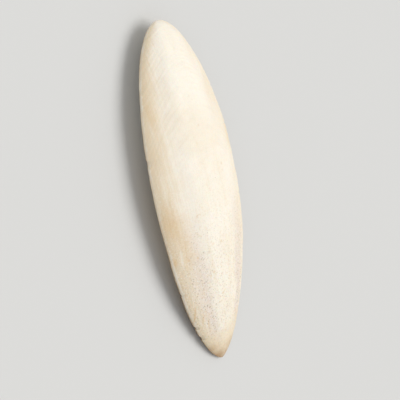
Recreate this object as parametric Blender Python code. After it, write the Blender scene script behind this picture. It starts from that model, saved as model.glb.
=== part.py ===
"""A cuttlebone: the chalky inner shell of a cuttlefish, one piece, lying on its belly side.

+Z is up and is the dorsal (back) side, +Y points to the blunt front end, +X to the right.
The origin is on the resting surface, under the middle of the bone's box.
"""

import bmesh
import bpy
import numpy as np

# Driving dimensions, in metres
LENGTH = 0.160
WIDTH = 0.056
CROWN_HEIGHT = 0.0074  # the back's rise above the margin
BELLY_DEPTH = 0.0086  # the belly's fall below the margin
RIM_THICKNESS = 0.0016
MARGIN_HEIGHT = 0.0094  # of the margin above the floor, where the bone is widest
REST_CUT = 0.0004  # how far the belly is flattened where it rests

# Places along the length are shares of it, counted from the pointed tail end. Places across are
# shares of the half width, counted from the middle.
WIDEST = 0.56
THICKEST = 0.62

# The outline's fullness at each end: lower is blunter
TAIL_POINT = 0.67
FRONT_POINT = 0.54

# The tail end curves down until it nearly meets the floor, and the front end a little
TAIL_DROP = 0.0078
FRONT_DROP = 0.0022
TAIL_BEND = 1.9

# The back: how square its arch is, and the broad, faint rib along its middle with a groove each side
CROWN_SQUARENESS = 2.25
CROWN_EDGE = 0.86
RIB_HEIGHT = 0.0005
RIB_HALF_WIDTH = 0.46  # at the front end
RIB_TAPER = 0.20  # how much of its width it loses towards the tail
GROOVE_DEPTH = 0.0003
GROOVE_PLACE = 1.45  # counted in the rib's half widths
GROOVE_HALF_WIDTH = 0.45  # in the same measure
RIB_TAIL_FADE = 0.25
RIB_FRONT_FADE = 0.12

# The bone grows at its front, so its growth lines bow forward in the middle
GROWTH_BOW = 0.60

# The belly: a smooth swelling in front, and behind it the striated zone, hollowed along the middle
SWELLING_FRONT = 0.75  # how round its front end is: lower is blunter
SWELLING_ROUNDNESS = 2.3
STRIATED_SQUARENESS = 3.0
STRIATED_FRONT = 0.452  # the growth line that parts the two, by its place at the margin
STEP_HALF_LENGTH = 0.02
STEP_HEIGHT = 0.00035  # the fall from the swelling to the striated zone
SULCUS_DEPTH = 0.0011
SULCUS_HALF_WIDTH = 0.26
HOLLOW_START = 0.04  # the zone is level at the tail's tip, and hollow from here on
HOLLOW_FULL = 0.25
SIDE_FADE = 0.12  # how softly the hollow ends at the sides

# The inner cone: two low limbs that part from a closed curve near the tail
CONE_END = 0.075
LIMB_FADE = 0.36  # where they begin to fade
LIMB_REACH = 0.58  # where they are gone
LIMB_SPREAD = 0.66  # how far they stand apart there
LIMB_CURVE = 0.60
LIMB_HEIGHT = 0.0010
LIMB_WIDTH = 0.0021
LEAST_ACROSS = 0.01

# The horny rim, which broadens towards the tail, and its lip, which turns down there
RIM_WIDTH_FRONT = 0.0020
RIM_WIDTH_TAIL = 0.0070
RIM_BROAD = 0.05
RIM_SLIM = 0.55
RIM_MOST = 0.85  # of the half width
LIP_DEPTH = 0.0016
RIM_TIP_SLIMNESS = 0.25  # it thins out where the bone is slimmer than this share of its width

# The mesh: growth lines from tip to tip, closer together near the tips, and points along each
ROWS = 68
COLUMNS = 34
TIP_CROWDING = 0.65
SIDE_CROWDING = 0.97
RIM_ROUNDING = 0.6  # how far the rim's two edges draw in, in half thicknesses
SHARP_ANGLE = 40.0  # degrees

BONE_COLOUR = (0.86, 0.79, 0.69, 1.0)
BONE_ROUGHNESS = 0.75


def smooth_step(low, high, value):
    """0 below low, 1 above high, with a smooth rise between them."""
    share = np.clip((value - low) / (high - low), 0.0, 1.0)
    return share * share * (3.0 - 2.0 * share)


def along_growth_line(growth, across):
    """Where a growth line that starts at growth on the margin lies, further in."""
    return growth + GROWTH_BOW * growth * (1.0 - growth) * (1.0 - across**2)


def half_width(along):
    """The outline: pointed at the tail, bluntly rounded at the front."""
    tail = 1.0 - np.clip((WIDEST - along) / WIDEST, 0.0, 1.0) ** 2
    front = 1.0 - np.clip((along - WIDEST) / (1.0 - WIDEST), 0.0, 1.0) ** 2
    fullness = np.where(along < WIDEST, tail**TAIL_POINT, front**FRONT_POINT)
    return 0.5 * WIDTH * fullness


def slimness(along):
    """1 where the bone is full, and 0 at both tips."""
    return half_width(along) / (0.5 * WIDTH)


def margin_height(along):
    """The margin's height above the floor, seen from the side."""
    tail = TAIL_DROP * np.clip((WIDEST - along) / WIDEST, 0.0, 1.0) ** TAIL_BEND
    front = FRONT_DROP * np.clip((along - WIDEST) / (1.0 - WIDEST), 0.0, 1.0) ** 2
    return MARGIN_HEIGHT - tail - front


def rim_breadth(along):
    """0 along the front, where the horny rim is slim, and 1 at the tail, where it is broad."""
    return 1.0 - smooth_step(RIM_BROAD, RIM_SLIM, along)


def rim_width(along):
    return RIM_WIDTH_FRONT + (RIM_WIDTH_TAIL - RIM_WIDTH_FRONT) * rim_breadth(along)


def body_share(along):
    """How much of the half width is left inside the horny rim."""
    return 1.0 - np.clip(rim_width(along) / half_width(along), 0.0, RIM_MOST)


def rim_half_thickness(along):
    return 0.5 * RIM_THICKNESS * np.clip(slimness(along) / RIM_TIP_SLIMNESS, 0.0, 1.0)


def dorsal_rise(across, along):
    """The back's height over the margin: an even crown with a broad, faint rib."""
    crown = np.clip(1.0 - np.abs(across) ** CROWN_SQUARENESS, 0.0, 1.0) ** CROWN_EDGE
    from_rib = np.abs(across) / (RIB_HALF_WIDTH * (1.0 - RIB_TAPER * (1.0 - along)))
    rib = RIB_HEIGHT * np.exp(-(from_rib**4))
    groove = GROOVE_DEPTH * np.exp(-(((from_rib - GROOVE_PLACE) / GROOVE_HALF_WIDTH) ** 2))
    fade = smooth_step(0.0, RIB_TAIL_FADE, along) * smooth_step(0.0, RIB_FRONT_FADE, 1.0 - along)
    return CROWN_HEIGHT * slimness(along) * crown + fade * (rib - groove)


def belly_swelling(along):
    """The depth along the middle, as a share: long and hollow behind, and full in front, up to the rim."""
    behind = smooth_step(0.0, THICKEST, along)
    rim_start = 1.0 - RIM_WIDTH_FRONT / LENGTH
    front = 1.0 - np.clip((along - THICKEST) / (rim_start - THICKEST), 0.0, 1.0) ** 2
    return np.where(along < THICKEST, behind, front**SWELLING_FRONT)


def distance_from_limbs(across, along):
    """How far a point lies outside the curve of the inner cone's limbs, in metres, below 0 inside it."""
    power = 1.0 / LIMB_CURVE
    side = np.maximum(np.abs(across), LEAST_ACROSS) / LIMB_SPREAD
    run = LIMB_REACH - CONE_END
    value = side**power - (along - CONE_END) / run
    slope_across = power * side ** (power - 1.0) / LIMB_SPREAD / half_width(along)
    slope_along = 1.0 / (run * LENGTH)
    return value / np.hypot(slope_across, slope_along)


def ventral_fall(across, along, growth):
    """The belly's depth under the margin."""
    body = body_share(along)
    inner = np.clip(np.abs(across) / body, 0.0, 1.0)
    striated = 1.0 - smooth_step(STRIATED_FRONT - STEP_HALF_LENGTH, STRIATED_FRONT + STEP_HALF_LENGTH, growth)
    swelling_form = 1.0 - inner**SWELLING_ROUNDNESS
    striated_form = 1.0 - inner**STRIATED_SQUARENESS
    form = swelling_form * (1.0 - striated) + striated_form * striated
    hollowed = striated * smooth_step(HOLLOW_START, HOLLOW_FULL, along)
    sulcus = SULCUS_DEPTH * np.exp(-((inner / SULCUS_HALF_WIDTH) ** 2))
    hollow = hollowed * smooth_step(0.0, SIDE_FADE, 1.0 - inner) * (sulcus + STEP_HEIGHT)
    reach = 1.0 - smooth_step(LIMB_FADE, LIMB_REACH, along)
    limbs = LIMB_HEIGHT * reach * np.exp(-((distance_from_limbs(across, along) / LIMB_WIDTH) ** 2))
    outside = np.clip((np.abs(across) - body) / (1.0 - body), 0.0, 1.0)
    lip = LIP_DEPTH * np.sin(0.5 * np.pi * outside) ** 2 * rim_breadth(along)
    return BELLY_DEPTH * belly_swelling(along) * form - hollow + (limbs + lip) * slimness(along)


def growth_loop(growth):
    """A growth line as a closed loop of points: over the back from left to right, then under the belly."""
    turn = 0.5 * np.pi * SIDE_CROWDING
    across = np.sin(turn * np.linspace(-1.0, 1.0, COLUMNS + 1)) / np.sin(turn)
    along = along_growth_line(growth, across)
    half_rim = rim_half_thickness(along)
    x = across * (half_width(along) - RIM_ROUNDING * half_rim)
    y = (along - 0.5) * LENGTH
    back = margin_height(along) + half_rim + dorsal_rise(across, along)
    belly = margin_height(along) - half_rim - ventral_fall(across, along, growth)
    edge = half_width(growth)
    edge_place = ((growth - 0.5) * LENGTH, margin_height(growth))
    over = list(zip(x, y, back))
    under = list(zip(x, y, belly))
    return [*over, (edge, *edge_place), *under[::-1], (-edge, *edge_place)]


def bone_mesh():
    """The closed skin, from growth lines along the length and one point at each tip."""
    mesh = bmesh.new()
    even = np.linspace(0.0, 1.0, ROWS + 2)
    crowded = 0.5 - 0.5 * np.cos(np.pi * even)
    lines = (1.0 - TIP_CROWDING) * even + TIP_CROWDING * crowded
    loops = [[mesh.verts.new(point) for point in growth_loop(growth)] for growth in lines[1:-1]]
    tail = mesh.verts.new((0.0, -0.5 * LENGTH, margin_height(0.0)))
    front = mesh.verts.new((0.0, 0.5 * LENGTH, margin_height(1.0)))
    size = len(loops[0])
    for near, far in zip(loops, loops[1:]):
        for k in range(size):
            mesh.faces.new((near[k], near[(k + 1) % size], far[(k + 1) % size], far[k]))
    for k in range(size):
        mesh.faces.new((tail, loops[0][(k + 1) % size], loops[0][k]))
        mesh.faces.new((front, loops[-1][k], loops[-1][(k + 1) % size]))
    bmesh.ops.recalc_face_normals(mesh, faces=mesh.faces)
    return mesh


def flatten_where_it_rests(mesh):
    """Cuts the lowest part of the belly off level, and closes it with one flat face."""
    lowest = min(vertex.co.z for vertex in mesh.verts)
    level = lowest + REST_CUT
    everything = [*mesh.verts, *mesh.edges, *mesh.faces]
    cut = bmesh.ops.bisect_plane(
        mesh, geom=everything, plane_co=(0.0, 0.0, level), plane_no=(0.0, 0.0, -1.0), clear_outer=True
    )
    edges = [item for item in cut["geom_cut"] if isinstance(item, bmesh.types.BMEdge)]
    bmesh.ops.edgeloop_fill(mesh, edges=edges)
    bmesh.ops.recalc_face_normals(mesh, faces=mesh.faces)
    bmesh.ops.translate(mesh, verts=mesh.verts, vec=(0.0, 0.0, -level))


def bone_material():
    """Chalky, creamy white."""
    material = bpy.data.materials.new("bone")
    material.use_nodes = True
    shader = material.node_tree.nodes["Principled BSDF"]
    shader.inputs["Base Color"].default_value = BONE_COLOUR
    shader.inputs["Roughness"].default_value = BONE_ROUGHNESS
    shader.inputs["Metallic"].default_value = 0.0
    material.diffuse_color = BONE_COLOUR
    return material


def make_cuttlebone():
    """The whole bone as one object."""
    skin = bone_mesh()
    flatten_where_it_rests(skin)
    data = bpy.data.meshes.new("cuttlebone")
    skin.to_mesh(data)
    skin.free()
    data.shade_smooth()
    data.set_sharp_from_angle(angle=np.radians(SHARP_ANGLE))
    data.materials.append(bone_material())
    bone = bpy.data.objects.new("cuttlebone", data)
    bpy.context.scene.collection.objects.link(bone)
    return bone


for old in list(bpy.data.objects):
    bpy.data.objects.remove(old)
make_cuttlebone()
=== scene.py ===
"""The looks of a cuttlebone that lies on its belly on a pale floor.

The fine skin follows the same outline, arch and belly as the solid, with growth lines, striae,
granules, pits and worn edges added. +Z is the back, +Y the blunt front end, all in metres.
"""

from typing import NamedTuple

import bpy
import numpy as np
from mathutils import Matrix, Vector, noise


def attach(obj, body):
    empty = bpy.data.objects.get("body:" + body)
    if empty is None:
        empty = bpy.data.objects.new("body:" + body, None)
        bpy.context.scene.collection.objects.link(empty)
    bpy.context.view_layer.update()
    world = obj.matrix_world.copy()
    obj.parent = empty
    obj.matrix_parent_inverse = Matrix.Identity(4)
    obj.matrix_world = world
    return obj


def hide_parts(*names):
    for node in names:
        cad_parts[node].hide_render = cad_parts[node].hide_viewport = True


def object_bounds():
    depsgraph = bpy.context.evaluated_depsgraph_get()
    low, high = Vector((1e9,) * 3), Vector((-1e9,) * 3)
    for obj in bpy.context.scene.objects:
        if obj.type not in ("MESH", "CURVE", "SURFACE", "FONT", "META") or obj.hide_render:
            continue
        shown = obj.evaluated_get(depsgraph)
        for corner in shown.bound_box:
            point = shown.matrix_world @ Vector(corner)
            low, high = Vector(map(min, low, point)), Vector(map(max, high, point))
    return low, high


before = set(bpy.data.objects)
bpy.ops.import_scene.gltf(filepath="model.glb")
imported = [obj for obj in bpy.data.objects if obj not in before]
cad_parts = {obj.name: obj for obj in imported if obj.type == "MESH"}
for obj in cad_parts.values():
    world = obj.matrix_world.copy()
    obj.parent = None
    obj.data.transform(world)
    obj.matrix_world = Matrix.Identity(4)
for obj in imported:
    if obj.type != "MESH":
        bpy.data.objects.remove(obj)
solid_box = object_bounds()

MM = 0.001

# The solid's own dimensions, repeated, in metres
LENGTH = 0.160
WIDTH = 0.056
CROWN_HEIGHT = 0.0074  # the back's rise above the margin
BELLY_DEPTH = 0.0086  # the belly's fall below the margin
MARGIN_HEIGHT = 0.0094  # of the margin above the floor, where the bone is widest
REST_CUT = 0.0004  # how far the belly is flattened where it rests

# Places along the length are shares of it, counted from the pointed tail end. Places across are
# shares of the half width, counted from the middle.
WIDEST = 0.56
THICKEST = 0.62

# The outline's fullness at each end: lower is blunter
TAIL_POINT = 0.67
FRONT_POINT = 0.54

# The tail end curves down until it nearly meets the floor, and the front end a little
TAIL_DROP = 0.0078
FRONT_DROP = 0.0022
TAIL_BEND = 1.9

# The back: how square its arch is, and the broad, faint rib along its middle with a groove each side
CROWN_SQUARENESS = 2.25
CROWN_EDGE = 0.86
RIB_HEIGHT = 0.0005
RIB_HALF_WIDTH = 0.46  # at the front end
RIB_TAPER = 0.20  # how much of its width it loses towards the tail
GROOVE_DEPTH = 0.0003
GROOVE_PLACE = 1.45  # counted in the rib's half widths
GROOVE_HALF_WIDTH = 0.45  # in the same measure
RIB_TAIL_FADE = 0.25
RIB_FRONT_FADE = 0.12

# The bone grows at its front, so its growth lines bow forward in the middle
GROWTH_BOW = 0.60

# The belly: a smooth swelling in front, and behind it the striated zone, hollowed along the middle
SWELLING_FRONT = 0.75  # how round its front end is: lower is blunter
SWELLING_ROUNDNESS = 2.3
STRIATED_SQUARENESS = 3.0
STRIATED_FRONT = 0.452  # the growth line that parts the two, by its place at the margin
STEP_HALF_LENGTH = 0.02
STEP_HEIGHT = 0.00035  # the fall from the swelling to the striated zone
SULCUS_DEPTH = 0.0011
SULCUS_HALF_WIDTH = 0.26
HOLLOW_START = 0.04  # the zone is level at the tail's tip, and hollow from here on
HOLLOW_FULL = 0.25
SIDE_FADE = 0.12  # how softly the hollow ends at the sides

# The inner cone: two low limbs that part from a closed curve near the tail
CONE_END = 0.075
LIMB_FADE = 0.36  # where they begin to fade
LIMB_REACH = 0.58  # where they are gone
LIMB_SPREAD = 0.66  # how far they stand apart there
LIMB_CURVE = 0.60
LIMB_HEIGHT = 0.0010
LIMB_WIDTH = 0.0021
LEAST_ACROSS = 0.01

# The horny rim, which broadens towards the tail, and its lip, which turns down there
RIM_WIDTH_FRONT = 0.0020
RIM_WIDTH_TAIL = 0.0070
RIM_BROAD = 0.05
RIM_SLIM = 0.55
RIM_MOST = 0.85  # of the half width
LIP_DEPTH = 0.0016
RIM_TIP_SLIMNESS = 0.25  # it thins out where the bone is slimmer than this share of its width

# The fine skin: growth lines from tip to tip, closer together near the tips
ROWS = 476
COLUMNS = 98  # steps of each from side to side, over the back and again under the belly
TIP_CROWDING = 0.65
SIDE_CROWDING = 0.97
RIM_THICKNESS = 0.0009  # thinner than the solid's, as the real edge is
RIM_ROUNDING = 0.6  # how far the rim's two edges draw in, in half thicknesses
SMALLEST_LENGTH = 1e-12  # keeps a division by a length finite


def smooth_step(low, high, value):
    """0 below low, 1 above high, with a smooth rise between them."""
    share = np.clip((value - low) / (high - low), 0.0, 1.0)
    return share * share * (3.0 - 2.0 * share)


class Ramp(NamedTuple):
    """A smooth change from start to end, while a value goes from low to high."""

    low: float
    high: float
    start: float = 0.0
    end: float = 1.0

    def at(self, value):
        return self.start + (self.end - self.start) * smooth_step(self.low, self.high, value)


# How far noise is turned off its own grid where it is drawn out, and moved for each seed
GRID_COS = 0.8
GRID_SIN = 0.6
SEED_SHIFT = (17.3, 5.1, 9.7)

# Streaks fade along the back's front half, in relief and in colour
CALM = Ramp(0.50, 0.85, 1.0, 0.30)

# The back's relief. Heights and lengths are in metres, and a stretch is how short a drawn-out
# direction is made for its noise: a lower one draws the noise out further.
WAVE_HEIGHT = 0.00016
LONG_WAVE = 15 * MM
SHORT_WAVE = 5 * MM
SHORT_WAVE_SHARE = 0.4  # of the long waves' height
STREAK_HEIGHT = 0.00005
STREAK_WIDTH = 1.3 * MM
STREAK_STRETCH = 0.06
RIDGE_HEIGHT = 0.00009
RIDGE_WIDTH = 1.6 * MM
RIDGE_STRETCH = 0.2
RIDGES_FORWARD = Ramp(0.45, 0.95, 0.35, 1.0)
MIDDLE_SHARE = 0.5  # of the height that streaks and ridges have at the sides
GRANULE_HEIGHT = 0.00006
GRANULE_WIDTH = 0.85 * MM
GRANULES_FORWARD = Ramp(0.25, 0.75, 1.0, 0.25)

# The belly's relief: waves, the steps of the striae, and fine streaks along the outer cone
BELLY_WAVE = 12 * MM
BELLY_WAVE_SHARE = 0.7  # of the back's waves' height
STRIA_ROWS = 3
STRIA_HEIGHT = 0.00010
STRIA_WAVER = 9 * MM
STRIA_WAVER_SHARE = 0.35
STRIAE_END = Ramp(STRIATED_FRONT - 0.006, STRIATED_FRONT, 1.0, 0.0)
WITHIN_LIMBS = Ramp(0.0, 1.6 * MM)
LIMBS_END = 0.45  # from here on the striae reach nearly to the rim
WITHIN_RIM = Ramp(0.86, 0.97, 1.0, 0.0)
CONE_STREAK_WIDTH = 0.9 * MM
CONE_STREAK_STRETCH = 0.05
ON_CONE = Ramp(0.0, 2 * MM)

# The brittle margin: worn in by waves, nicks and grit, and waving up and down
MARGINS_APART = 0.1  # so that the two margins don't wear alike
EDGE_WEAR = 0.00030
WEAR_LENGTH = 7 * MM
NICK_LENGTH = 2.6 * MM
NICKS = Ramp(0.42, 0.62, 0.0, 1.6)
EDGE_GRIT = 0.00014
GRIT_LENGTH = 1.1 * MM
WEAR_NARROWNESS = 10  # a higher power keeps the wear closer to the margin
WEAR_TIP_SLIMNESS = 0.4  # it fades where the bone is slimmer than this share of its width
RIM_FLUTTER = 0.00045
FLUTTER_LENGTH = 17 * MM
SHORT_FLUTTER_LENGTH = 6 * MM
SHORT_FLUTTER_SHARE = 0.35
FLUTTER_NARROWNESS = 8
FLUTTER_TIP_SLIMNESS = 0.5

# Pits on the back, and hollows and scratches in the belly's soft chalk, at random places
DENTS_ALONG = (0.06, 0.94)
DENTS_ACROSS = (-0.85, 0.85)
PIT_COUNT = 46
PIT_RADII = (0.35 * MM, 0.8 * MM)
PIT_DEPTHS = (0.06 * MM, 0.2 * MM)
HOLLOW_COUNT = 30
HOLLOW_RADII = (0.7 * MM, 2.6 * MM)
HOLLOW_DEPTHS = (0.05 * MM, 0.16 * MM)
SCRATCH_COUNT = 12
SCRATCHES_ALONG = (0.60, 0.90)
SCRATCHES_ACROSS = (-0.6, 0.6)
SCRATCH_HALF_LENGTHS = (3.0 * MM, 8.0 * MM)
SCRATCH_DEPTH = 0.00010
SCRATCH_WIDTH = 0.00035


def along_growth_line(growth, across):
    """Where a growth line that starts at growth on the margin lies, further in."""
    return growth + GROWTH_BOW * growth * (1.0 - growth) * (1.0 - across**2)


def half_width(along):
    """The outline: pointed at the tail, bluntly rounded at the front."""
    tail = 1.0 - np.clip((WIDEST - along) / WIDEST, 0.0, 1.0) ** 2
    front = 1.0 - np.clip((along - WIDEST) / (1.0 - WIDEST), 0.0, 1.0) ** 2
    fullness = np.where(along < WIDEST, tail**TAIL_POINT, front**FRONT_POINT)
    return 0.5 * WIDTH * fullness


def slimness(along):
    """1 where the bone is full, and 0 at both tips."""
    return half_width(along) / (0.5 * WIDTH)


def lane(across, along):
    """How far from the middle a streak runs: it spreads from the tail, then runs straight on."""
    return across * np.where(along < WIDEST, 0.5 * WIDTH, half_width(along))


def margin_height(along):
    """The margin's height above the floor, seen from the side."""
    tail = TAIL_DROP * np.clip((WIDEST - along) / WIDEST, 0.0, 1.0) ** TAIL_BEND
    front = FRONT_DROP * np.clip((along - WIDEST) / (1.0 - WIDEST), 0.0, 1.0) ** 2
    return MARGIN_HEIGHT - tail - front


def rim_breadth(along):
    """0 along the front, where the horny rim is slim, and 1 at the tail, where it is broad."""
    return 1.0 - smooth_step(RIM_BROAD, RIM_SLIM, along)


def rim_width(along):
    return RIM_WIDTH_FRONT + (RIM_WIDTH_TAIL - RIM_WIDTH_FRONT) * rim_breadth(along)


def body_share(along):
    """How much of the half width is left inside the horny rim."""
    return 1.0 - np.clip(rim_width(along) / half_width(along), 0.0, RIM_MOST)


def rim_half_thickness(along):
    return 0.5 * RIM_THICKNESS * np.clip(slimness(along) / RIM_TIP_SLIMNESS, 0.0, 1.0)


def dorsal_rise(across, along):
    """The back's height over the margin: an even crown with a broad, faint rib."""
    crown = np.clip(1.0 - np.abs(across) ** CROWN_SQUARENESS, 0.0, 1.0) ** CROWN_EDGE
    from_rib = np.abs(across) / (RIB_HALF_WIDTH * (1.0 - RIB_TAPER * (1.0 - along)))
    rib = RIB_HEIGHT * np.exp(-(from_rib**4))
    groove = GROOVE_DEPTH * np.exp(-(((from_rib - GROOVE_PLACE) / GROOVE_HALF_WIDTH) ** 2))
    fade = smooth_step(0.0, RIB_TAIL_FADE, along) * smooth_step(0.0, RIB_FRONT_FADE, 1.0 - along)
    return CROWN_HEIGHT * slimness(along) * crown + fade * (rib - groove)


def belly_swelling(along):
    """The depth along the middle, as a share: long and hollow behind, and full in front, up to the rim."""
    behind = smooth_step(0.0, THICKEST, along)
    rim_start = 1.0 - RIM_WIDTH_FRONT / LENGTH
    front = 1.0 - np.clip((along - THICKEST) / (rim_start - THICKEST), 0.0, 1.0) ** 2
    return np.where(along < THICKEST, behind, front**SWELLING_FRONT)


def distance_from_limbs(across, along):
    """How far a point lies outside the curve of the inner cone's limbs, in metres, below 0 inside it."""
    power = 1.0 / LIMB_CURVE
    side = np.maximum(np.abs(across), LEAST_ACROSS) / LIMB_SPREAD
    run = LIMB_REACH - CONE_END
    value = side**power - (along - CONE_END) / run
    slope_across = power * side ** (power - 1.0) / LIMB_SPREAD / half_width(along)
    slope_along = 1.0 / (run * LENGTH)
    return value / np.hypot(slope_across, slope_along)


def ventral_fall(across, along, growth):
    """The belly's depth under the margin."""
    body = body_share(along)
    inner = np.clip(np.abs(across) / body, 0.0, 1.0)
    striated = 1.0 - smooth_step(STRIATED_FRONT - STEP_HALF_LENGTH, STRIATED_FRONT + STEP_HALF_LENGTH, growth)
    swelling_form = 1.0 - inner**SWELLING_ROUNDNESS
    striated_form = 1.0 - inner**STRIATED_SQUARENESS
    form = swelling_form * (1.0 - striated) + striated_form * striated
    hollowed = striated * smooth_step(HOLLOW_START, HOLLOW_FULL, along)
    sulcus = SULCUS_DEPTH * np.exp(-((inner / SULCUS_HALF_WIDTH) ** 2))
    hollow = hollowed * smooth_step(0.0, SIDE_FADE, 1.0 - inner) * (sulcus + STEP_HEIGHT)
    reach = 1.0 - smooth_step(LIMB_FADE, LIMB_REACH, along)
    limbs = LIMB_HEIGHT * reach * np.exp(-((distance_from_limbs(across, along) / LIMB_WIDTH) ** 2))
    outside = np.clip((np.abs(across) - body) / (1.0 - body), 0.0, 1.0)
    lip = LIP_DEPTH * np.sin(0.5 * np.pi * outside) ** 2 * rim_breadth(along)
    return BELLY_DEPTH * belly_swelling(along) * form - hollow + (limbs + lip) * slimness(along)


def growth_lines():
    """The places on the margin where the growth lines start, closer together near the tips."""
    even = np.linspace(0.0, 1.0, ROWS + 2)
    crowded = 0.5 - 0.5 * np.cos(np.pi * even)
    return ((1.0 - TIP_CROWDING) * even + TIP_CROWDING * crowded)[1:-1]


class Skin:
    """Every point of the fine skin, in rows along the growth lines.

    Each row runs over the back from left to right, round the right edge, under the belly and
    round the left edge.
    """

    def __init__(self):
        turn = 0.5 * np.pi * SIDE_CROWDING
        over = np.sin(turn * np.linspace(-1.0, 1.0, COLUMNS + 1)) / np.sin(turn)
        one = np.ones(1)
        across = np.concatenate([over, one, over[::-1], -one])
        self.growth, self.across = np.meshgrid(growth_lines(), across, indexing="ij")
        self.row = np.repeat(np.arange(ROWS)[:, None], across.size, axis=1)
        self.along = along_growth_line(self.growth, self.across)
        column = np.arange(across.size)
        self.back = np.broadcast_to(column <= COLUMNS, self.across.shape)
        self.belly = np.broadcast_to((column > COLUMNS + 1) & (column < across.size - 1), self.across.shape)
        self.points = self.base_points()

    def base_points(self):
        """The smooth form, before any relief."""
        half_rim = rim_half_thickness(self.along)
        edge = ~(self.back | self.belly)
        x = self.across * (half_width(self.along) - np.where(edge, 0.0, RIM_ROUNDING * half_rim))
        y = (self.along - 0.5) * LENGTH
        over = half_rim + dorsal_rise(self.across, self.along)
        under = -half_rim - ventral_fall(self.across, self.along, self.growth)
        z = margin_height(self.along) + np.where(self.back, over, np.where(self.belly, under, 0.0))
        return np.stack([x, y, z - REST_CUT], axis=-1)

    def normals(self):
        """Outward directions, from each point's neighbours."""
        onward = np.gradient(self.points, axis=0)
        round_it = np.roll(self.points, -1, axis=1) - np.roll(self.points, 1, axis=1)
        out = np.cross(round_it, onward)
        return out / np.maximum(np.linalg.norm(out, axis=-1, keepdims=True), SMALLEST_LENGTH)


def lumps(places, size, seed):
    """Smooth noise from -1 to 1 at each place, with lumps of the given size."""
    shift = Vector([seed * step for step in SEED_SHIFT])
    flat = places.reshape(-1, 3) / size
    values = [noise.noise(Vector(place) + shift) for place in flat]
    return np.array(values).reshape(places.shape[:-1])


def drawn_out(across, onward):
    """Places for drawn-out noise, turned so that the noise's own grid doesn't show as straight blocks."""
    turned = [GRID_COS * across + GRID_SIN * onward, GRID_COS * onward - GRID_SIN * across]
    return np.stack([*turned, 0.0 * across], axis=-1)


def back_relief(skin):
    """The back: slow waves, streaks along it, growth ridges at its sides, and granules towards the tail."""
    side = np.abs(skin.across)
    waves = lumps(skin.points, LONG_WAVE, seed=1) + SHORT_WAVE_SHARE * lumps(skin.points, SHORT_WAVE, seed=2)
    lanes = lane(skin.across, skin.along)
    streaks = lumps(drawn_out(lanes, skin.along * LENGTH * STREAK_STRETCH), STREAK_WIDTH, seed=3)
    streaks = streaks * (MIDDLE_SHARE + (1.0 - MIDDLE_SHARE) * side) * CALM.at(skin.along)
    ridges = lumps(drawn_out(skin.growth * LENGTH, RIDGE_STRETCH * lanes), RIDGE_WIDTH, seed=4)
    ridges = ridges * (MIDDLE_SHARE + (1.0 - MIDDLE_SHARE) * side**2) * RIDGES_FORWARD.at(skin.along)
    granules = np.abs(lumps(skin.points, GRANULE_WIDTH, seed=5)) * GRANULES_FORWARD.at(skin.along)
    relief = WAVE_HEIGHT * waves + STREAK_HEIGHT * streaks
    return relief + RIDGE_HEIGHT * ridges + GRANULE_HEIGHT * granules


def stria_steps(skin, from_limbs):
    """The striae's steps, a few rows of points to each, from -0.5 to 0.5."""
    inner = np.abs(skin.across) / body_share(skin.along)
    inside = np.where(skin.along > LIMBS_END, WITHIN_RIM.at(inner), WITHIN_LIMBS.at(-from_limbs))
    waver = 1.0 - STRIA_WAVER_SHARE + STRIA_WAVER_SHARE * lumps(skin.points, STRIA_WAVER, seed=6)
    steps = (skin.row % STRIA_ROWS) / (STRIA_ROWS - 1.0) - 0.5
    return steps * waver * STRIAE_END.at(skin.growth) * inside


def belly_relief(skin):
    """The belly: slow waves, stepped striae behind the swelling, and fine lines along the outer cone."""
    from_limbs = distance_from_limbs(skin.across, skin.along)
    striae = STRIA_HEIGHT * stria_steps(skin, from_limbs)
    waves = BELLY_WAVE_SHARE * WAVE_HEIGHT * lumps(skin.points, BELLY_WAVE, seed=7)
    stretched = drawn_out(lane(skin.across, skin.along), skin.along * LENGTH * CONE_STREAK_STRETCH)
    streaks = STREAK_HEIGHT * lumps(stretched, CONE_STREAK_WIDTH, seed=8) * ON_CONE.at(from_limbs)
    return striae + waves + streaks


def margin_places(skin):
    """Places that differ along each margin and from one margin to the other, but not across."""
    places = skin.points.copy()
    places[..., 0] = np.sign(skin.across) * MARGINS_APART
    places[..., 2] = 0.0
    return places


def near_margin(skin, narrowness, tip_slimness):
    """1 at the margin, falling quickly inwards, and fading at both tips."""
    return np.abs(skin.across) ** narrowness * np.clip(slimness(skin.along) / tip_slimness, 0.0, 1.0)


def worn_edges(skin, places):
    """How far the margin is drawn in, here and there, by small breaks."""
    waver = 0.5 + 0.5 * lumps(places, WEAR_LENGTH, seed=9)
    nicks = NICKS.at(lumps(places, NICK_LENGTH, seed=10))
    grit = 0.5 + 0.5 * lumps(places, GRIT_LENGTH, seed=13)
    wear = EDGE_WEAR * (waver + nicks) + EDGE_GRIT * grit
    return wear * near_margin(skin, WEAR_NARROWNESS, WEAR_TIP_SLIMNESS) * np.sign(skin.across)


def rim_flutter(skin, places):
    """How far the thin margin waves up and down."""
    waves = lumps(places, FLUTTER_LENGTH, seed=11)
    waves = waves + SHORT_FLUTTER_SHARE * lumps(places, SHORT_FLUTTER_LENGTH, seed=12)
    return RIM_FLUTTER * waves * near_margin(skin, FLUTTER_NARROWNESS, FLUTTER_TIP_SLIMNESS)


def dents(skin, count, radii, depths, seed):
    """The depth of small round dents at places drawn at random."""
    draw = np.random.default_rng(seed)
    depth = np.zeros(skin.across.shape)
    for _ in range(count):
        along = draw.uniform(*DENTS_ALONG)
        x = draw.uniform(*DENTS_ACROSS) * half_width(along)
        y = (along - 0.5) * LENGTH
        radius = draw.uniform(*radii)
        deep = draw.uniform(*depths)
        away = (skin.points[..., 0] - x) ** 2 + (skin.points[..., 1] - y) ** 2
        depth += deep * np.exp(-away / radius**2)
    return depth


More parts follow.
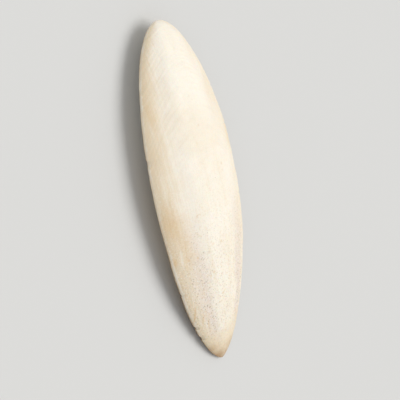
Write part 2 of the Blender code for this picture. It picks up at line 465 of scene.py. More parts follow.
def scratches(skin, count, seed):
    """The depth of short, shallow scratches in the soft chalk of the swelling, drawn at random."""
    draw = np.random.default_rng(seed)
    depth = np.zeros(skin.across.shape)
    for _ in range(count):
        along = draw.uniform(*SCRATCHES_ALONG)
        x = draw.uniform(*SCRATCHES_ACROSS) * half_width(along)
        y = (along - 0.5) * LENGTH
        turn = draw.uniform(0.0, np.pi)
        half_length = draw.uniform(*SCRATCH_HALF_LENGTHS)
        onward = (skin.points[..., 0] - x) * np.cos(turn) + (skin.points[..., 1] - y) * np.sin(turn)
        aside = (skin.points[..., 1] - y) * np.cos(turn) - (skin.points[..., 0] - x) * np.sin(turn)
        depth += SCRATCH_DEPTH * np.exp(-((onward / half_length) ** 4) - (aside / SCRATCH_WIDTH) ** 2)
    return depth


def add_relief(skin):
    """Moves every point out or in along its own direction, and keeps the belly off the floor."""
    out = skin.normals()
    pits = dents(skin, PIT_COUNT, PIT_RADII, PIT_DEPTHS, seed=7)
    hollows = dents(skin, HOLLOW_COUNT, HOLLOW_RADII, HOLLOW_DEPTHS, seed=8)
    hollows = hollows + scratches(skin, SCRATCH_COUNT, seed=9)
    height = np.where(skin.back, back_relief(skin) - pits, 0.0)
    height = height + np.where(skin.belly, belly_relief(skin) - hollows, 0.0)
    places = margin_places(skin)
    drawn_in = worn_edges(skin, places)
    lifted = rim_flutter(skin, places)
    skin.points = skin.points + out * height[..., None]
    skin.points[..., 0] -= drawn_in
    low = skin.points[..., 2] + lifted
    skin.points[..., 2] = np.where(skin.belly, np.maximum(low, 0.0), low)


def skin_mesh(skin):
    """The closed mesh: rows of quads, and a fan at each tip."""
    rows, size = skin.across.shape
    tips = [(0.0, (end - 0.5) * LENGTH, margin_height(end) - REST_CUT) for end in (0.0, 1.0)]
    points = np.concatenate([skin.points.reshape(-1, 3), np.array(tips, dtype=float)])
    tail, front = rows * size, rows * size + 1
    column = np.arange(size)
    following = (column + 1) % size
    faces = []
    for row in range(rows - 1):
        near, far = row * size, (row + 1) * size
        faces += np.stack([near + column, near + following, far + following, far + column], axis=1).tolist()
    last = (rows - 1) * size
    for here, there in zip(column.tolist(), following.tolist()):
        faces.append((tail, there, here))
        faces.append((front, last + here, last + there))
    mesh = bpy.data.meshes.new("bone_skin")
    mesh.from_pydata(points.tolist(), [], faces)
    mesh.validate()
    mesh.shade_smooth()
    return mesh


# Distances that the material reads are in millimetres, and clipped where they no longer matter
FAR = 40.0
TIPS_FROM_LIMBS = 5.0  # how far outside the limbs both tips count as


def store(mesh, name, values, at_tips):
    """Keeps one number for each point, which the material reads by name."""
    everywhere = np.concatenate([values.reshape(-1), np.array(at_tips)]).astype(np.float32)
    mesh.attributes.new(name, "FLOAT", "POINT").data.foreach_set("value", everywhere)


def store_places(mesh, skin):
    """Where each point lies on the bone, for the material."""
    to_side = (1.0 - np.abs(skin.across)) * half_width(skin.along)
    to_end = np.minimum(skin.along, 1.0 - skin.along) * LENGTH
    to_edge = np.minimum(to_side, to_end)
    rim = (rim_width(skin.along) - to_edge) / MM
    limbs = distance_from_limbs(skin.across, skin.along) / MM
    store(mesh, "across", skin.across, (0.0, 0.0))
    store(mesh, "along", skin.along, (0.0, 1.0))
    store(mesh, "lane", lane(skin.across, skin.along), (0.0, 0.0))
    store(mesh, "growth", skin.growth, (0.0, 1.0))
    store(mesh, "belly", np.where(skin.belly, 1.0, 0.0), (0.0, 0.0))
    store(mesh, "rim", np.clip(rim, -FAR, FAR), (RIM_WIDTH_TAIL / MM, RIM_WIDTH_FRONT / MM))
    store(mesh, "limbs", np.clip(limbs, -FAR, FAR), (TIPS_FROM_LIMBS, TIPS_FROM_LIMBS))
    store(mesh, "to_edge", to_edge / MM, (0.0, 0.0))


NOISE_MIDDLE = 0.5  # of noise that runs from 0 to 1


class Noise(NamedTuple):
    """Noise of the material: the size of its lumps, how far it moves a value, and its fineness."""

    size: float
    reach: float = 1.0
    detail: float = 2.0
    roughness: float = 0.5


class Streaks(NamedTuple):
    """Noise drawn out along the bone: its width, its stretch, and how far it moves a value."""

    size: float
    stretch: float
    reach: float = 1.0


class Tree:
    """Short ways to add nodes to a material."""

    def __init__(self, material):
        material.use_nodes = True
        self.nodes = material.node_tree.nodes
        self.links = material.node_tree.links
        self.place = self.put("ShaderNodeTexCoord", {}, "Object")

    def feed(self, socket, value):
        if isinstance(value, bpy.types.NodeSocket):
            self.links.new(value, socket)
        else:
            socket.default_value = value

    def put(self, kind, inputs, output, **settings):
        node = self.nodes.new(kind)
        for name, value in settings.items():
            setattr(node, name, value)
        for name, value in inputs.items():
            self.feed(node.inputs[name], value)
        return node.outputs[output]

    def stored(self, name):
        return self.put("ShaderNodeAttribute", {}, "Fac", attribute_name=name)

    def math(self, operation, first, second=0.0, third=0.0):
        return self.put("ShaderNodeMath", {0: first, 1: second, 2: third}, 0, operation=operation)

    def product(self, first, *others):
        """All of them multiplied."""
        for other in others:
            first = self.math("MULTIPLY", first, other)
        return first

    def shift(self, value, by, reach):
        """The value, moved either way by something that runs from 0 to 1."""
        return self.math("MULTIPLY_ADD", self.math("SUBTRACT", by, NOISE_MIDDLE), reach, value)

    def ragged(self, value, kind):
        """The value, moved either way by noise."""
        return self.shift(value, self.noise(self.place, kind), kind.reach)

    def step(self, value, ramp):
        low, high, start, end = ramp
        inputs = {"Value": value, "From Min": low, "From Max": high, "To Min": start, "To Max": end}
        return self.put("ShaderNodeMapRange", inputs, "Result", interpolation_type="SMOOTHSTEP")

    def colour(self, share, first, second):
        inputs = {0: share, 6: first, 7: second}
        return self.put("ShaderNodeMix", inputs, 2, data_type="RGBA")

    def value(self, share, first, second):
        return self.put("ShaderNodeMix", {0: share, 2: first, 3: second}, 0, data_type="FLOAT")

    def noise(self, place, kind):
        fineness = {"Detail": kind.detail, "Roughness": kind.roughness}
        return self.put("ShaderNodeTexNoise", {"Vector": place, "Scale": 1.0 / kind.size, **fineness}, "Fac")

    def cloud(self, kind, ramp):
        """How strongly a patch of noise shows at each place."""
        return self.step(self.noise(self.place, kind), ramp)

    def cells(self, size, **settings):
        inputs = {"Vector": self.place, "Scale": 1.0 / size}
        return self.put("ShaderNodeTexVoronoi", inputs, "Distance", **settings)

    def drawn_out(self, across, onward, layer=0.0):
        """A place for drawn-out noise, turned off the noise's own grid like those of the relief."""
        x = self.math("MULTIPLY_ADD", onward, GRID_SIN, self.math("MULTIPLY", across, GRID_COS))
        y = self.math("MULTIPLY_ADD", across, -GRID_SIN, self.math("MULTIPLY", onward, GRID_COS))
        return self.put("ShaderNodeCombineXYZ", {0: x, 1: y, 2: layer}, 0)


def rgb(red, green, blue):
    return (red, green, blue, 1.0)


# Colours, as linear light
CREAM = rgb(0.92, 0.865, 0.755)
WARM_CREAM = rgb(0.86, 0.77, 0.62)
SIDE_TAN = rgb(0.76, 0.62, 0.42)
ORANGE_TAN = rgb(0.72, 0.50, 0.26)
GREY_PINK_TINT_AND_SHADE = rgb(0.76, 0.66, 0.58)
ARC_TAN = rgb(0.80, 0.68, 0.52)
GRAIN = rgb(0.38, 0.30, 0.21)
GRAIN_PALE_AND_HIGHLIGHT = rgb(0.93, 0.89, 0.81)
TAIL_BROWN = rgb(0.42, 0.24, 0.10)
SPECK = rgb(0.22, 0.13, 0.08)
EDGE_CREAM = rgb(0.90, 0.84, 0.73)
CHALK = rgb(0.84, 0.82, 0.76)
CHALK_SHADE = rgb(0.70, 0.66, 0.58)
BEIGE = rgb(0.68, 0.57, 0.42)
DEEP_BEIGE = rgb(0.56, 0.43, 0.28)
PALE_AMBER = rgb(0.66, 0.47, 0.20)
AMBER = rgb(0.54, 0.33, 0.09)
DEEP_AMBER = rgb(0.34, 0.175, 0.035)

# The material's values. Where nothing else is said, a ramp with TAIL, TIP or FRONT in its name goes
# by the place along, and any other by the noise, streaks or cells just before it.
WARM_CLOUD = Noise(22 * MM)
WARM_SHOWS = Ramp(0.4, 0.7, 0.0, 0.6)

# Streaks, which wander a little
STREAK_WANDER = Noise(10 * MM, reach=2.0 * MM)
STREAK_DETAIL = 3.0
STREAK_ROUGHNESS = 0.55
STREAK_LAYER = 0.4  # of a lump: how far they lie off a plane of their noise's own grid
FINE_STREAKS = Streaks(0.9 * MM, 0.04)
FINE_SHOWS = Ramp(0.5, 0.72, 0.0, 0.35)
BROAD_STREAKS = Streaks(3.5 * MM, 0.10)
BROAD_SHOWS = Ramp(0.5, 0.75, 0.0, 0.20)

# The flanks: tan, running inwards in ragged streaks, and more so on the left, away from the key
# light, partly as painted shade. Their ramps go by the place across.
SIDE_STREAKS = Streaks(1.2 * MM, 0.05, reach=0.45)
SIDE_RAGGED = Noise(12 * MM, reach=0.35, detail=3.0)
SIDE_SHOWS = Ramp(0.48, 1.0)
SIDE_LEFT_TAN_AND_SHADE = Ramp(0.3, -0.3, 0.5, 1.0)
SIDE_STRENGTH = 0.85

# The grooves beside the rib, grey-pink partly as a tint and partly as painted shade, whose inner
# and outer ramps go by the place across
GROOVE_RAGGED = Noise(7 * MM, reach=0.3, detail=3.0)
GROOVE_INNER = Ramp(0.32, 0.55)
GROOVE_OUTER = Ramp(0.88, 0.68)
GROOVE_TAIL = Ramp(0.55, 0.25, 0.15, 1.0)
GROOVE_TIP = Ramp(0.03, 0.15)
GROOVE_TINT_AND_SHADE_STRENGTH = 0.78

# Faint arcs along the growth lines
ARC_WANDER = Noise(9 * MM, reach=3 * MM)
ARC_STRETCH = 0.14
ARC_LINES = Noise(2.4 * MM, detail=4.0, roughness=0.6)
ARC_SHOWS = Ramp(0.46, 0.74)
ARC_PATCHES = Noise(18 * MM)
ARC_PATCHES_SHOW = Ramp(0.40, 0.58, 0.25, 1.0)
ARC_FRONT = Ramp(0.40, 0.80, 0.0, 0.50)

# Mottle and pale grains, partly painted highlights, closest together towards the tail
MOTTLE = Noise(1.2 * MM, detail=3.0, roughness=0.6)
MOTTLE_SHOWS = Ramp(0.48, 0.72, 0.0, 0.5)
MOTTLE_TAIL = Ramp(0.70, 0.25, 0.20, 1.0)
PALE_GRAIN = Noise(0.7 * MM, roughness=0.6)
PALE_GRAIN_SHOWS = Ramp(0.52, 0.68, 0.0, 0.6)
PALE_GRAIN_TAIL = Ramp(0.75, 0.25, 0.2, 1.0)

# Dark grains: some cells of a fine pattern, stronger in the grooves
GRAIN_CELL = 0.85 * MM
GRAIN_RAGGED = Noise(0.4 * MM, reach=0.6)
GRAIN_DOTS = Ramp(0.50, 0.15)
GRAIN_GROUPS = Noise(1.3 * MM)
GRAIN_GROUPS_SHOW = Ramp(0.44, 0.60)
GRAIN_TAIL = Ramp(0.62, 0.20, 0.06, 1.0)
GRAIN_BY_GROOVE = Ramp(0.0, 1.0, 0.44, 0.84)  # by how fully a place lies in a groove

# Orange freckles
FRECKLE_CELL = 3.4 * MM
FRECKLE_RAGGED = Noise(0.8 * MM, reach=0.4)
FRECKLE_SPOTS = Ramp(0.26, 0.06)
FRECKLE_TAIL = Ramp(0.8, 0.35, 0.35, 1.0)
FRECKLE_GROUPS = Noise(11 * MM)
FRECKLE_GROUPS_SHOW = Ramp(0.50, 0.66)
FRECKLE_STRENGTH = 0.55

# Single marks on the back: place across and along as shares, half sizes across and along, colour
# and strength. Their edges are ragged, and MARK_SHOWS goes by the distance in half sizes.
MARK_RAGGED = Noise(1.6 * MM, reach=0.9, detail=3.0)
MARK_SHOWS = Ramp(1.3, 0.2)
MARKS = (
    # The first two are partly a real orange stain and partly painted shadow and painted reflection.
    (-0.88, 0.500, 4.0 * MM, 9.0 * MM, ORANGE_TAN, 0.40),
    (-0.78, 0.440, 7.0 * MM, 15.0 * MM, ORANGE_TAN, 0.24),
    (-0.95, 0.380, 0.9 * MM, 2.4 * MM, ORANGE_TAN, 0.60),
    (-0.83, 0.388, 0.9 * MM, 5.0 * MM, EDGE_CREAM, 0.55),
    (-0.74, 0.400, 0.4 * MM, 6.0 * MM, ORANGE_TAN, 0.30),
    (-0.90, 0.200, 0.5 * MM, 6.0 * MM, ORANGE_TAN, 0.60),
    (-0.78, 0.170, 0.35 * MM, 4.5 * MM, ORANGE_TAN, 0.50),
    (-0.66, 0.150, 0.35 * MM, 4.0 * MM, ORANGE_TAN, 0.40),
    (-0.29, 0.306, 0.8 * MM, 0.7 * MM, ORANGE_TAN, 0.45),
    (-0.36, 0.298, 0.5 * MM, 0.5 * MM, ORANGE_TAN, 0.40),
    (-0.11, 0.228, 0.7 * MM, 0.8 * MM, ORANGE_TAN, 0.45),
    (0.87, 0.640, 1.8 * MM, 9.0 * MM, ORANGE_TAN, 0.32),
    (-0.86, 0.780, 1.8 * MM, 8.0 * MM, ORANGE_TAN, 0.28),
    (-0.43, 0.378, 0.30 * MM, 0.30 * MM, SPECK, 0.5),
    (-0.29, 0.427, 0.25 * MM, 0.40 * MM, SPECK, 0.4),
    (0.12, 0.560, 0.25 * MM, 0.30 * MM, SPECK, 0.4),
)

# The pale margin, partly worn chalk and partly painted highlight. EDGE_SHOWS goes by the distance
# from it in millimetres.
EDGE_RAGGED = Noise(1.5 * MM, reach=1.2, detail=3.0)
EDGE_SHOWS = Ramp(0.60, 0.10)
EDGE_PATCHES = Noise(7 * MM)
EDGE_PATCHES_SHOW = Ramp(0.38, 0.62, 0.25, 0.70)
EDGE_TIP = Ramp(0.03, 0.16)

# The browned tip of the tail, which reaches a little further forward at the sides. Its tan band
# is partly the horn's colour and partly painted shadow
TAIL_RAGGED = Noise(5 * MM, reach=0.07, detail=4.0, roughness=0.6)
TAIL_SIDE_REACH = -0.02
TAIL_TAN_AND_SHADOW = Ramp(0.16, 0.05, 0.0, 0.7)
TAIL_DARK = Ramp(0.08, -0.01, 0.0, 0.85)

# The belly's chalk, with darker lines between the striae
BELLY_STRETCH = 0.07
STRIA_LINES = Noise(0.8 * MM, detail=3.0, roughness=0.6)
STRIA_SHOWS = Ramp(0.42, 0.66)
STRIA_BEHIND = Ramp(STRIATED_FRONT + 0.004, STRIATED_FRONT - 0.004, 0.16, 0.6)  # by growth line
CREAM_CLOUD = Noise(14 * MM, detail=3.0)
CREAM_SHOWS = Ramp(0.45, 0.75, 0.0, 0.5)

# The outer cone, which shows outside the limbs. CONE_SHOWS goes by that distance in millimetres.
CONE_RAGGED = Noise(2.5 * MM, reach=1.4, detail=3.0)
CONE_EDGE_STREAKS = Streaks(0.8 * MM, 0.05, reach=1.0)
CONE_SHOWS = Ramp(-0.3, 0.7)
CONE_FRONT = Ramp(0.95, 0.50, 0.30, 1.0)
CONE_STREAKS = Streaks(0.8 * MM, 0.03)
CONE_DEEP = Ramp(0.38, 0.68)
CONE_PALE_STREAKS = Streaks(3.0 * MM, 0.08)
CONE_PALE = Ramp(0.48, 0.75, 0.0, 0.55)

# The horny rim. HORN_SHOWS and HORN_DEEP go by the depth into it in millimetres.
HORN_STREAKS = Streaks(1.2 * MM, 0.03, reach=1.6)
HORN_RAGGED = Noise(2.2 * MM, reach=1.4, detail=3.0, roughness=0.6)
HORN_WAVER = Noise(11 * MM, reach=2.0)
HORN_SHOWS = Ramp(-0.45, 0.55)
HORN_FRONT = Ramp(0.5, 0.9, 1.0, 0.8)
HORN_STRETCH = 0.03
HORN_LINES = Noise(0.35 * MM, reach=3.6)
HORN_LINES_BESIDE = Ramp(0.05, 0.40)  # by the place across, so that the sides' lines don't meet
HORN_DEEP = Ramp(0.6, 5.4)
HORN_CLOUD = Noise(5 * MM, detail=4.0, roughness=0.6)
HORN_CLOUD_SHOWS = Ramp(0.46, 0.72, 0.0, 0.6)
HORN_FRONT_PALE = Ramp(0.45, 0.85, 0.0, 0.55)
HORN_TAIL_BROWN = Ramp(0.20, 0.0, 0.0, 0.6)

# The finest relief, in metres, as bumps of the material
BUMP_GRANULE_CELL = 0.75 * MM
BUMP_GRANULES = Ramp(0.6, 0.05)
BUMP_GRANULES_TAIL = Ramp(0.7, 0.15, 0.25, 1.0)
BUMP_GRANULE_HEIGHT = 0.05 * MM
BUMP_GRAIN = Noise(0.25 * MM, detail=3.0, roughness=0.6)
BUMP_GRAIN_HEIGHT = 0.03 * MM
BUMP_STREAKS = Streaks(0.6 * MM, 0.03)
BUMP_STREAK_HEIGHT = 0.05 * MM
BUMP_BELLY_STREAKS = 0.4  # of the back's streaks' height
BUMP_LINES = Noise(0.4 * MM)
BUMP_LINE_HEIGHT = 0.06 * MM

# The surface: satin on the back, powdery on the belly, shiny on the horn, and a little light
# goes through it all
SATIN_CLOUD = Noise(3 * MM)
SATIN_ROUGHNESS = Ramp(0.3, 0.7, 0.46, 0.66)
POWDER_ROUGHNESS = 0.86
HORN_ROUGHNESS = 0.32
HORN_SHINE = Ramp(0.0, 0.8)  # by the depth into the rim in millimetres
BONE_SPECULAR = 0.4
GLOW_SHARE = 0.12
GLOW_COLOUR = (1.0, 0.6, 0.35)
GLOW_DEPTH = 1.5 * MM


def streaks(tree, kind):
    """Noise drawn out along the bone, which wanders a little and draws together towards the tail."""
    x = tree.ragged(tree.stored("lane"), STREAK_WANDER)
    y = tree.math("MULTIPLY", tree.stored("along"), LENGTH * kind.stretch)
    layer = tree.math("ADD", tree.stored("belly"), STREAK_LAYER * kind.size)
    fineness = Noise(kind.size, detail=STREAK_DETAIL, roughness=STREAK_ROUGHNESS)
    return tree.noise(tree.drawn_out(x, y, layer), fineness)


def mark_share(tree, across, along, half_across, half_along):
    """1 in the middle of a ragged mark on the back, and 0 outside it."""
    middle = (across * float(half_width(np.array(along))), (along - 0.5) * LENGTH, 0.0)
    away = tree.put("ShaderNodeVectorMath", {0: tree.place, 1: middle}, 0, operation="SUBTRACT")
    scale = (1.0 / half_across, 1.0 / half_along, 0.0)
    away = tree.put("ShaderNodeVectorMath", {0: away, 1: scale}, 0, operation="MULTIPLY")
    distance = tree.put("ShaderNodeVectorMath", {0: away}, "Value", operation="LENGTH")
    return tree.step(tree.ragged(distance, MARK_RAGGED), MARK_SHOWS)


def side_share(tree, side):
    """How tan the flanks are, in ragged streaks inwards: more to the left, partly as painted shade."""
    ragged = tree.shift(side, streaks(tree, SIDE_STREAKS), SIDE_STREAKS.reach)
    ragged = tree.ragged(ragged, SIDE_RAGGED)
    return tree.product(tree.step(ragged, SIDE_SHOWS), tree.step(tree.stored("across"), SIDE_LEFT_TAN_AND_SHADE))


def groove_share(tree, side, along):
    """1 in the grainy grooves beside the rib, towards the tail: grey-pink tint and painted shade."""
    ragged = tree.ragged(side, GROOVE_RAGGED)
    tail = tree.product(tree.step(along, GROOVE_TAIL), tree.step(along, GROOVE_TIP))
    return tree.product(tree.step(ragged, GROOVE_INNER), tree.step(ragged, GROOVE_OUTER), tail)


def grain_share(tree, groove, along):
    """Small dark grains, closest together towards the tail and darkest in the grooves."""
    dots = tree.step(tree.ragged(tree.cells(GRAIN_CELL), GRAIN_RAGGED), GRAIN_DOTS)
    grains = tree.product(dots, tree.cloud(GRAIN_GROUPS, GRAIN_GROUPS_SHOW), tree.step(along, GRAIN_TAIL))
    return tree.product(grains, tree.step(groove, GRAIN_BY_GROOVE))


def freckle_share(tree, along):
    """Soft orange freckles, scattered in loose groups."""
    spots = tree.step(tree.ragged(tree.cells(FRECKLE_CELL), FRECKLE_RAGGED), FRECKLE_SPOTS)
    groups = tree.cloud(FRECKLE_GROUPS, FRECKLE_GROUPS_SHOW)
    return tree.product(spots, tree.step(along, FRECKLE_TAIL), groups, FRECKLE_STRENGTH)


def arc_share(tree, along):
    """Faint arcs along the growth lines, which show here and there on the smooth front half."""
    wander = tree.math("MULTIPLY", tree.noise(tree.place, ARC_WANDER), ARC_WANDER.reach)
    onward = tree.math("MULTIPLY_ADD", tree.stored("growth"), LENGTH, wander)
    line = tree.drawn_out(onward, tree.math("MULTIPLY", tree.stored("lane"), ARC_STRETCH))
    arcs = tree.step(tree.noise(line, ARC_LINES), ARC_SHOWS)
    return tree.product(arcs, tree.cloud(ARC_PATCHES, ARC_PATCHES_SHOW), tree.step(along, ARC_FRONT))


def edge_wear_and_highlight_share(tree, along):
    """1 on the worn margin's pale strip, partly painted highlight, ragged and patchy, and 0 inside it."""
    worn = tree.product(tree.cloud(EDGE_PATCHES, EDGE_PATCHES_SHOW), tree.step(along, EDGE_TIP))
    return tree.product(tree.step(tree.ragged(tree.stored("to_edge"), EDGE_RAGGED), EDGE_SHOWS), worn)


def add_streaks(tree, along, colour):
    """Fine and broad streaks, fainter towards the front."""
    calm = tree.step(along, CALM)
    fine = tree.product(tree.step(streaks(tree, FINE_STREAKS), FINE_SHOWS), calm)
    colour = tree.colour(fine, colour, WARM_CREAM)
    broad = tree.product(tree.step(streaks(tree, BROAD_STREAKS), BROAD_SHOWS), calm)
    return tree.colour(broad, colour, SIDE_TAN)


def add_grains(tree, groove, along, colour):
    """Mottle, pale grains, partly painted highlights, and dark grains, mostly towards the tail."""
    mottle = tree.product(tree.cloud(MOTTLE, MOTTLE_SHOWS), tree.step(along, MOTTLE_TAIL))
    colour = tree.colour(mottle, colour, SIDE_TAN)
    # pale grains, partly painted highlights on the granules
    pale = tree.product(tree.cloud(PALE_GRAIN, PALE_GRAIN_SHOWS), tree.step(along, PALE_GRAIN_TAIL))
    colour = tree.colour(pale, colour, GRAIN_PALE_AND_HIGHLIGHT)
    return tree.colour(grain_share(tree, groove, along), colour, GRAIN)


def add_marks(tree, colour):
    """The single marks."""
    for across, along, half_across, half_along, tint, strength in MARKS:
        share = tree.product(mark_share(tree, across, along, half_across, half_along), strength)
        colour = tree.colour(share, colour, tint)
    return colour


def browned_and_shadowed_tail(tree, side, along, colour):
    """The tip of the tail, tan, partly as painted shadow, and then brown, with a ragged end."""
    ragged = tree.shift(tree.ragged(along, TAIL_RAGGED), side, TAIL_SIDE_REACH)
    # tan band, partly horn colour and partly painted shadow
    colour = tree.colour(tree.step(ragged, TAIL_TAN_AND_SHADOW), colour, SIDE_TAN)
    return tree.colour(tree.step(ragged, TAIL_DARK), colour, TAIL_BROWN)


def back_colour(tree):
    """Cream, tan at the sides and brown at the tail's tip, with streaks, grains, freckles and marks."""
    side = tree.math("ABSOLUTE", tree.stored("across"))
    along = tree.stored("along")
    groove = groove_share(tree, side, along)
    colour = tree.colour(tree.cloud(WARM_CLOUD, WARM_SHOWS), CREAM, WARM_CREAM)
    # grey-pink in the grooves: partly a tint, partly painted shade of the hollow
    colour = tree.colour(tree.product(groove, GROOVE_TINT_AND_SHADE_STRENGTH), colour, GREY_PINK_TINT_AND_SHADE)
    # tan flanks; the extra tan on the left is partly painted shade
    colour = tree.colour(tree.product(side_share(tree, side), SIDE_STRENGTH), colour, SIDE_TAN)
    colour = add_streaks(tree, along, colour)
    colour = tree.colour(arc_share(tree, along), colour, ARC_TAN)
    colour = add_grains(tree, groove, along, colour)
    colour = tree.colour(freckle_share(tree, along), colour, ORANGE_TAN)
    # marks, two of them partly painted shadow and reflection
    colour = add_marks(tree, colour)
    # pale margin, partly worn chalk and partly painted highlight
    colour = tree.colour(edge_wear_and_highlight_share(tree, along), colour, EDGE_CREAM)
    return browned_and_shadowed_tail(tree, side, along, colour)


def chalk_colour(tree):
    """Chalk white, with darker lines between the striae and cream clouds."""
    growth = tree.stored("growth")
    aside = tree.math("MULTIPLY", tree.stored("lane"), BELLY_STRETCH)
    line = tree.drawn_out(tree.math("MULTIPLY", growth, LENGTH), aside)
    stria = tree.step(tree.noise(line, STRIA_LINES), STRIA_SHOWS)
    stria = tree.product(stria, tree.step(growth, STRIA_BEHIND))
    colour = tree.colour(stria, CHALK, CHALK_SHADE)
    return tree.colour(tree.cloud(CREAM_CLOUD, CREAM_SHOWS), colour, CREAM)


def cone_share(tree, along):
    """1 on the outer cone, outside the limbs, and fainter towards the front."""
    ragged = tree.ragged(tree.stored("limbs"), CONE_RAGGED)
    ragged = tree.shift(ragged, streaks(tree, CONE_EDGE_STREAKS), CONE_EDGE_STREAKS.reach)
    return tree.product(tree.step(ragged, CONE_SHOWS), tree.step(along, CONE_FRONT))


def cone_colour(tree):
    """The outer cone: beige, drawn out in fine lines along the bone."""
    colour = tree.colour(tree.step(streaks(tree, CONE_STREAKS), CONE_DEEP), BEIGE, DEEP_BEIGE)
    return tree.colour(tree.step(streaks(tree, CONE_PALE_STREAKS), CONE_PALE), colour, WARM_CREAM)


def horn_depth(tree):
    """How deep into the horny rim a point lies, in millimetres, with a ragged inner edge."""
    depth = tree.shift(tree.stored("rim"), streaks(tree, HORN_STREAKS), HORN_STREAKS.reach)
    return tree.ragged(tree.ragged(depth, HORN_RAGGED), HORN_WAVER)


def horn_colour(tree, depth, along):
    """The horny rim: amber, deeper outwards and towards the tail, with growth lines along the edge."""
    outward = tree.math("MULTIPLY", tree.stored("rim"), MM)
    onward = tree.math("MULTIPLY", along, LENGTH * HORN_STRETCH)
    lines = tree.noise(tree.drawn_out(outward, onward), HORN_LINES)
    beside = tree.step(tree.math("ABSOLUTE", tree.stored("across")), HORN_LINES_BESIDE)
    lines = tree.value(beside, NOISE_MIDDLE, lines)
    deep = tree.step(tree.shift(depth, lines, HORN_LINES.reach), HORN_DEEP)
    colour = tree.colour(deep, AMBER, DEEP_AMBER)
    colour = tree.colour(tree.cloud(HORN_CLOUD, HORN_CLOUD_SHOWS), colour, PALE_AMBER)
    colour = tree.colour(tree.step(along, HORN_FRONT_PALE), colour, PALE_AMBER)
    return tree.colour(tree.step(along, HORN_TAIL_BROWN), colour, TAIL_BROWN)


def belly_colour(tree):
    """Striated chalk, a beige outer cone and an amber rim."""
    along = tree.stored("along")
    colour = tree.colour(cone_share(tree, along), chalk_colour(tree), cone_colour(tree))
    depth = horn_depth(tree)
    horn = tree.product(tree.step(depth, HORN_SHOWS), tree.step(along, HORN_FRONT))
    return tree.colour(horn, colour, horn_colour(tree, depth, along))


def relief(tree):
    """The finest relief: granules, grain and streaks on the back, powder and lines on the belly."""
    along = tree.stored("along")
    granule = tree.step(tree.cells(BUMP_GRANULE_CELL, feature="SMOOTH_F1"), BUMP_GRANULES)
    granule = tree.product(granule, tree.step(along, BUMP_GRANULES_TAIL), BUMP_GRANULE_HEIGHT)
    grain = tree.product(tree.noise(tree.place, BUMP_GRAIN), BUMP_GRAIN_HEIGHT)
    drawn = tree.product(streaks(tree, BUMP_STREAKS), BUMP_STREAK_HEIGHT)
    back = tree.math("MULTIPLY_ADD", drawn, tree.step(along, CALM), tree.math("ADD", granule, grain))
    line = tree.drawn_out(tree.math("MULTIPLY", tree.stored("growth"), LENGTH), 0.0)
    fine_lines = tree.product(tree.noise(line, BUMP_LINES), BUMP_LINE_HEIGHT)
    powder = tree.math("ADD", grain, tree.product(drawn, BUMP_BELLY_STREAKS))
    return tree.value(tree.stored("belly"), back, tree.math("ADD", fine_lines, powder))


def bone_material():
    """Chalky bone, with a satin back, a powdery belly and a shiny horny rim."""
    material = bpy.data.materials.new("bone")
    tree = Tree(material)
    shader = tree.nodes["Principled BSDF"]
    belly = tree.stored("belly")
    horn = tree.product(tree.step(tree.stored("rim"), HORN_SHINE), belly)
    rough = tree.value(belly, tree.cloud(SATIN_CLOUD, SATIN_ROUGHNESS), POWDER_ROUGHNESS)
    bump = tree.put("ShaderNodeBump", {"Height": relief(tree), "Strength": 1.0, "Distance": 1.0}, "Normal")
    tree.feed(shader.inputs["Base Color"], tree.colour(belly, back_colour(tree), belly_colour(tree)))
    tree.feed(shader.inputs["Roughness"], tree.value(horn, rough, HORN_ROUGHNESS))
    tree.feed(shader.inputs["Normal"], bump)
    shader.inputs["Specular IOR Level"].default_value = BONE_SPECULAR
    shader.inputs["Subsurface Weight"].default_value = GLOW_SHARE
    shader.inputs["Subsurface Radius"].default_value = GLOW_COLOUR
    shader.inputs["Subsurface Scale"].default_value = GLOW_DEPTH
    return material


def make_bone():
    """The fine skin, in place of the plain solid."""
    skin = Skin()
    add_relief(skin)
    mesh = skin_mesh(skin)
    store_places(mesh, skin)
    mesh.materials.append(bone_material())
    bone = bpy.data.objects.new("bone_skin", mesh)
    bpy.context.scene.collection.objects.link(bone)
    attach(bone, "root")
    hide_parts("cuttlebone")


FLOOR_SIZE = 60.0
FLOOR_COLOUR = rgb(0.66, 0.66, 0.65)
FLOOR_SHADE = rgb(0.61, 0.61, 0.60)
FLOOR_CLOUD = Noise(60 * MM, detail=3.0)
FLOOR_SHOWS = Ramp(0.3, 0.7, 0.0, 0.04)
FLOOR_ROUGHNESS = 0.9
FLOOR_SPECULAR = 0.2


def make_floor():
    """A plain pale floor."""
    bpy.ops.mesh.primitive_plane_add(size=FLOOR_SIZE, location=(0.0, 0.0, 0.0))
    floor = bpy.context.object
    floor.name = "floor"
    material = bpy.data.materials.new("floor")
    tree = Tree(material)
    shader = tree.nodes["Principled BSDF"]
    faint = tree.cloud(FLOOR_CLOUD, FLOOR_SHOWS)
    tree.feed(shader.inputs["Base Color"], tree.colour(faint, FLOOR_COLOUR, FLOOR_SHADE))
    shader.inputs["Roughness"].default_value = FLOOR_ROUGHNESS
    shader.inputs["Specular IOR Level"].default_value = FLOOR_SPECULAR
    floor.data.materials.append(material)


# A wide soft key light overhead and to the right, and a pale surrounding
KEY_DIRECTION = (0.40, -0.02, 0.80)
KEY_SOFTNESS = 48.0  # its width as seen from the bone, in degrees
KEY_STRENGTH = 1.80
KEY_COLOUR = (1.0, 0.985, 0.96)
SURROUNDING_COLOUR = rgb(0.99, 0.995, 1.0)
SURROUNDING_STRENGTH = 0.58


def make_key_light():
    """Even light from one direction, as from a very large soft box."""
    data = bpy.data.lights.new("key", "SUN")
    data.angle = np.radians(KEY_SOFTNESS)
    data.energy = KEY_STRENGTH
    data.color = KEY_COLOUR
    light = bpy.data.objects.new("key", data)
    light.rotation_mode = "QUATERNION"
    light.rotation_quaternion = Vector(KEY_DIRECTION).to_track_quat("Z", "Y")
    bpy.context.scene.collection.objects.link(light)


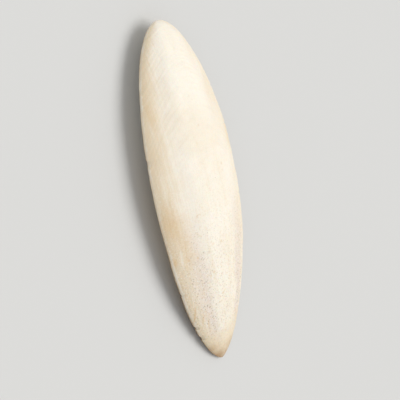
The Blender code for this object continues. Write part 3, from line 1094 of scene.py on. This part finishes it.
def make_surrounding():
    """Pale light from all round."""
    world = bpy.data.worlds.new("studio")
    world.use_nodes = True
    background = world.node_tree.nodes["Background"]
    background.inputs["Color"].default_value = SURROUNDING_COLOUR
    background.inputs["Strength"].default_value = SURROUNDING_STRENGTH
    bpy.context.scene.world = world


# The camera stands where the photograph's does, counted from the bone. In the photograph the
# bone is upright, turned about its length and leaning; here it lies down and the camera turns.
# Both places are in metres, with X to the right, Y up and Z forward, and the angles in degrees.
BONE_TURN = 29.2
BONE_LEAN = 13.3
BONE_MIDDLE = Vector((0.0616, 0.0838, -0.0130))
CAMERA_PLACE = Vector((-0.0930, 0.1865, 0.3671))
CAMERA_TILT = 11.954
CAMERA_PAN = 19.911
LENS = 87.0
SENSOR = 36.0
NEAREST_SEEN = 0.01


def bone_axes():
    """The bone's own three axes, as the photograph has them, in rows."""
    turn = np.radians(BONE_TURN)
    lean = np.radians(BONE_LEAN)
    length = Vector((-np.sin(lean), np.cos(lean), 0.0))
    level = Vector((np.cos(lean), np.sin(lean), 0.0))
    towards = Vector((0.0, 0.0, 1.0))
    across = np.cos(turn) * level - np.sin(turn) * towards
    back = np.cos(turn) * towards + np.sin(turn) * level
    return Matrix((across, length, back))


def make_camera():
    """Looks at the middle of the bone from the photograph's place."""
    to_bone = bone_axes()
    middle = Vector((0.0, 0.0, 0.5 * (solid_box[0].z + solid_box[1].z)))
    place = to_bone @ (CAMERA_PLACE - BONE_MIDDLE) + middle
    tilt = Matrix.Rotation(np.radians(CAMERA_TILT), 3, "X")
    pan = Matrix.Rotation(np.radians(CAMERA_PAN), 3, "Y")
    photo_up = (tilt @ pan).transposed() @ Vector((0.0, 1.0, 0.0))
    back = (place - middle).normalized()
    right = (to_bone @ photo_up).cross(back).normalized()
    up = back.cross(right)
    data = bpy.data.cameras.new("camera")
    data.lens = LENS
    data.sensor_width = SENSOR
    data.clip_start = NEAREST_SEEN
    camera = bpy.data.objects.new("camera", data)
    camera.matrix_world = Matrix.Translation(place) @ Matrix((right, up, back)).transposed().to_4x4()
    bpy.context.scene.collection.objects.link(camera)
    bpy.context.scene.camera = camera


make_camera()
make_bone()
make_floor()
make_key_light()
make_surrounding()
bpy.context.scene.view_settings.view_transform = "Standard"
